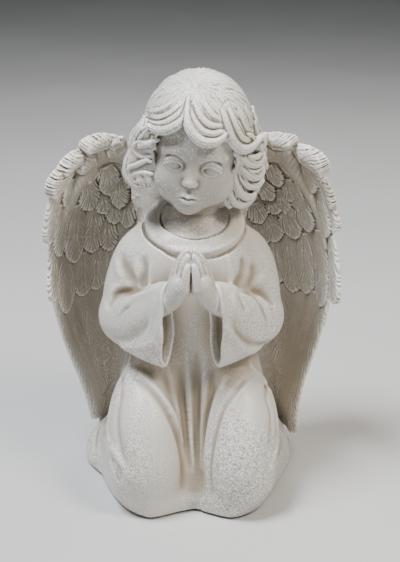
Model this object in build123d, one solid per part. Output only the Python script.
from build123d import *
import os

# Kneeling cherub figurine with praying hands, cast in filled polyester resin.
# The robe with torso and sleeves is the main, hollow casting. The head, the pair of hands
# and the two wings are castings of their own, glued at the neckline, the cuffs and the
# shoulder blades over steel pins. A board closes the hollow and felt covers the underside.
# Robe, hands and wings are built for +X and mirrored. The head leans, so it is built whole.
# Frame: +Z up, the figure looks along -Y, the origin is on the underside of the felt,
# below the torso. Millimetres.

# ---- driving dimensions -------------------------------------------------------------
FELT_T = 1.5           # felt thickness
BOARD_T = 3.0          # closing board thickness
CAVITY_TOP = 126.0     # the casting is solid above this height
SKIN = 5.0             # thickness of a wing
NECK_R, NECK_SEAT_Z = 17.0, 178.0
NECK_PIN_D, NECK_PIN_L = 5.0, 36.0
SHOULDER, SHOULDER_R = (43.0, 4.0, 166.0), 16.0
ELBOW, ELBOW_R = (45.0, -9.0, 127.0), 19.3
CUFF, CUFF_R = (24.0, -35.0, 132.0), 25.0   # centre and radius of the open end of a sleeve
WRIST_R = 8.0
WRIST_IN, WRIST_OUT = (23.0, -34.0, 141.0), (10.5, -47.5, 155.0)
WRIST_PIN_D, WRIST_PIN_L = 2.5, 16.0
WING_PAD_R = 11.0      # round seat of a wing on the back
WING_PAD_X, WING_PAD_Y, WING_PAD_Z = 21.0, 31.0, 166.0
WING_PIN_D, WING_PIN_L, WING_PIN_DZ = 4.0, 26.0, 6.0

os.makedirs("parts", exist_ok=True)


def ball(x, y, z, rx, ry, rz, turn=(0, 0, 0)):
    """Ellipsoid: centre, radii, turn about the centre."""
    return Pos(x, y, z) * Rot(*turn) * scale(Sphere(1.0), by=(rx, ry, rz))


def oval(z, half):
    """Closed smooth section at height z from the points of its +X half, front to back."""
    pts = [Vector(x, y, z) for x, y in half]
    pts += [Vector(-x, y, z) for x, y in reversed(half[1:-1])]
    return Face(Wire(Edge.make_spline(pts, periodic=True)))


def bar(a, b, r):
    """Round bar between two points."""
    d = Vector(*b) - Vector(*a)
    return Plane(origin=a, z_dir=d) * Cylinder(r, d.length, align=(Align.CENTER, Align.CENTER, Align.MIN))


def taper(a, ra, b, rb):
    """Round tapered limb between two points."""
    d = Vector(*b) - Vector(*a)
    return Plane(origin=a, z_dir=d) * Cone(ra, rb, d.length, align=(Align.CENTER, Align.CENTER, Align.MIN))


def up(x, y, z, r, h):
    """Upright cylinder standing at a point."""
    return Pos(x, y, z) * Cylinder(r, h, align=(Align.CENTER, Align.CENTER, Align.MIN))


def back(x, y, z, r, h):
    """Cylinder running backwards, along +Y, from a point."""
    return Pos(x, y, z) * Rot(-90, 0, 0) * Cylinder(r, h, align=(Align.CENTER, Align.CENTER, Align.MIN))


def flip(shape):
    """The mirror image in the YZ plane."""
    return mirror(shape, about=Plane.YZ)


RIGHT_HALF = Pos(200, 0, 150) * Box(400, 400, 400)

# ---- robe, torso and sleeves: the main casting ---------------------------------------
FOOT = [(0, -48), (30, -62), (53, -40), (64, 0), (71, 42), (54, 82), (0, 92)]
SECTIONS = [
    (FELT_T, FOOT),
    (14, [(0, -50), (32, -65), (57, -42), (69, 0), (77, 44), (58, 88), (0, 97)]),
    (40, [(0, -46), (30, -57), (54, -38), (64, 0), (66, 40), (48, 76), (0, 86)]),
    (75, [(0, -34), (26, -38), (47, -26), (54, 2), (52, 30), (36, 52), (0, 60)]),
    (110, [(0, -26), (22, -26), (40, -18), (45, 4), (41, 24), (26, 38), (0, 43)]),
    (150, [(0, -28), (24, -28), (43, -17), (49, 6), (43, 25), (26, 37), (0, 41)]),
    (172, [(0, -29), (22, -27), (41, -14), (48, 8), (41, 25), (24, 35), (0, 38)]),
    (186, [(0, -24), (17, -22), (31, -11), (36, 6), (31, 20), (18, 29), (0, 31)]),
    (194, [(0, -17), (12, -15), (21, -7), (25, 4), (21, 15), (12, 22), (0, 24)]),
]
robe = loft([oval(z, half) for z, half in SECTIONS]) & RIGHT_HALF
robe += ball(32, -34, 51, 27, 30, 51, (-30, 0, 0))          # thigh under the robe, knee on the ground
robe += Pos(*SHOULDER) * Sphere(SHOULDER_R)
robe += taper(SHOULDER, SHOULDER_R, ELBOW, 18.0)                           # upper arm
robe += Pos(*ELBOW) * Sphere(ELBOW_R)
robe += taper(ELBOW, ELBOW_R, CUFF, CUFF_R)                                # bell sleeve, open at the cuff

# flat round collar over the shoulders, tilted down at the front
section = Polyline((16, 0), (16, 5.5), (21, 5), (34.5, 0), (34.5, -3), (16, -3), close=True)
robe += Pos(0, 1, 190) * Rot(20, 0, 0) * revolve(make_face(Plane.XZ * section), Axis.Z)

# the foot is cut flat, and the casting is hollow from below, closed by the board in a rebate
cavity = loft([
    oval(FELT_T - 1, [(x * 0.80, y * 0.80 + 2) for x, y in FOOT]),
    oval(40, [(0, -36), (22, -44), (42, -28), (50, 2), (52, 36), (38, 64), (0, 74)]),
    oval(80, [(0, -24), (18, -26), (34, -18), (42, 2), (40, 24), (27, 42), (0, 48)]),
    oval(CAVITY_TOP, [(0, -10), (8, -9), (15, -5), (18, 4), (15, 14), (8, 20), (0, 22)]),
])
board = extrude(oval(FELT_T, [(x * 0.86, y * 0.86 + 2) for x, y in FOOT]), amount=BOARD_T) & RIGHT_HALF
robe -= Pos(0, 0, FELT_T - 40) * Box(400, 400, 80)
robe = (robe - cavity - board) & RIGHT_HALF

# seats: neck, wrist and wing, with the holes of their pins
wrist = bar(WRIST_IN, WRIST_OUT, WRIST_R)
d = (Vector(*WRIST_OUT) - Vector(*WRIST_IN)).normalized() * (WRIST_PIN_L / 2)
wrist_pin = bar(tuple(Vector(*WRIST_IN) - d), tuple(Vector(*WRIST_IN) + d), WRIST_PIN_D / 2)
neck_pin = up(0, 0, NECK_SEAT_Z - NECK_PIN_L / 2, NECK_PIN_D / 2, NECK_PIN_L)
wing_pins = [back(WING_PAD_X, WING_PAD_Y - WING_PIN_L / 2, WING_PAD_Z + dz, WING_PIN_D / 2, WING_PIN_L)
             for dz in (WING_PIN_DZ, -WING_PIN_DZ)]
robe = robe - up(0, 0, NECK_SEAT_Z, NECK_R, 60) - neck_pin
robe = robe - wrist - wrist_pin
robe = robe - back(WING_PAD_X, WING_PAD_Y, WING_PAD_Z, WING_PAD_R, 20) - wing_pins[0] - wing_pins[1]
half_robe = robe
robe = half_robe + flip(half_robe)
board = board + flip(board)

# ---- head with neck and hair ----------------------------------------------------------
head = ball(5, 2, 256.5, 37, 41, 43, (0, 8, 0))                       # skull with its cap of hair
head += ball(0.5, -16, 238, 27.5, 24, 30, (8, 8, 0))       # face
head += ball(-32, -4, 229, 14, 18, 20)             # side curls
head += ball(36, -4, 228, 13.5, 20, 24)
head += ball(-26, 6, 214, 13, 16, 13)              # lower curls
head += ball(26, 5, 211, 12, 16, 14)
head += ball(2, 18, 226, 30, 23, 28)             # hair at the nape
head += up(0, 0, NECK_SEAT_Z, NECK_R, 46)
head = head - neck_pin - robe

# ---- praying hands --------------------------------------------------------------------
hand = wrist
hand += ball(7.8, -50, 162, 6.8, 10, 15, (4, -14, 0))
hand += ball(3.6, -52, 179, 4.2, 7.5, 12, (4, -12, 0))
hand = (hand & RIGHT_HALF) - wrist_pin - half_robe
hands = hand + flip(hand)

# ---- wings ------------------------------------------------------------------------------
# rows from the tip near the foot up to the arch, each from the edge beside the spine to the rim
WING_ROWS = [
    (14, [(60, 66), (64, 68), (68, 68), (72, 66), (76, 62)]),
    (34, [(50, 62), (56, 66), (62, 66), (69, 62), (76, 55)]),
    (60, [(39, 60), (51, 67), (63, 67), (75, 58), (82, 45)]),
    (100, [(32, 58), (50, 69), (68, 69), (85, 55), (93, 36)]),
    (140, [(30, 54), (50, 69), (71, 69), (90, 52), (99, 27)]),
    (180, [(28, 51), (49, 69), (71, 68), (90, 48), (100, 20)]),
    (210, [(28, 50), (48, 66), (68, 64), (85, 44), (94, 19)]),
    (230, [(36, 47), (50, 57), (65, 55), (78, 42), (85, 25)]),
    (240, [(44, 42), (53, 47), (62, 46), (70, 39), (74, 30)]),
]
grid = [[Vector(x, y, z) for x, y in row] for z, row in WING_ROWS]
blade_face = Face.make_surface_from_array_of_points(grid, smoothing=None, min_deg=1, max_deg=3, tol=0.5)
blade = Solid.thicken(blade_face, SKIN)
if blade.bounding_box().max.Y < 70:
    blade = Solid.thicken(blade_face, -SKIN)
# thick leading edge, from the shoulder blade over the arch to the rim
spine = Edge.make_spline([Vector(24, 46, 190), Vector(34, 46, 218), Vector(54, 42, 236), Vector(74, 32, 233),
                          Vector(90, 24, 212), Vector(98, 22, 180)])
wing = Part() + blade + sweep(Plane(origin=spine @ 0, z_dir=spine % 0) * Circle(6.5), path=spine)
wing += ball(26, 49, 176, 11, 8, 28)
wing += back(WING_PAD_X, WING_PAD_Y, WING_PAD_Z, WING_PAD_R, 20)
wing -= Pos(WING_PAD_X, WING_PAD_Y - 30, WING_PAD_Z) * Box(80, 60, 120)
wing = wing - half_robe - wing_pins[0] - wing_pins[1]
wing_right, wing_left = wing - head, flip(wing) - head

# ---- felt --------------------------------------------------------------------------------
felt = extrude(oval(0, [(x * 0.97, y * 0.97 + 0.5) for x, y in FOOT]), amount=FELT_T) & RIGHT_HALF
felt = felt + flip(felt)

# ---- one STEP file for each node ----------------------------------------------------------


def whole(shape):
    """Only the solids above a speck's volume, as one shape."""
    keep = [s for s in shape.solids() if s.volume > 60]
    return keep[0] if len(keep) == 1 else Compound(children=keep)


NODES = {
    "body_casting": robe,
    "head_casting": head,
    "praying_hands": hands,
    "wing_left": wing_left,
    "wing_right": wing_right,
    "neck_pin": neck_pin,
    "wrist_pins": Compound(children=[wrist_pin, flip(wrist_pin)]),
    "wing_pins": Compound(children=wing_pins + [flip(p) for p in wing_pins]),
    "base_board": board,
    "base_felt": felt,
}
for name, shape in NODES.items():
    shape = whole(shape)
    export_step(shape, f"parts/{name}.step")
    b = shape.bounding_box()
    print(name, len(shape.solids()), round(shape.volume), [round(v, 1) for v in (*b.min, *b.max)])
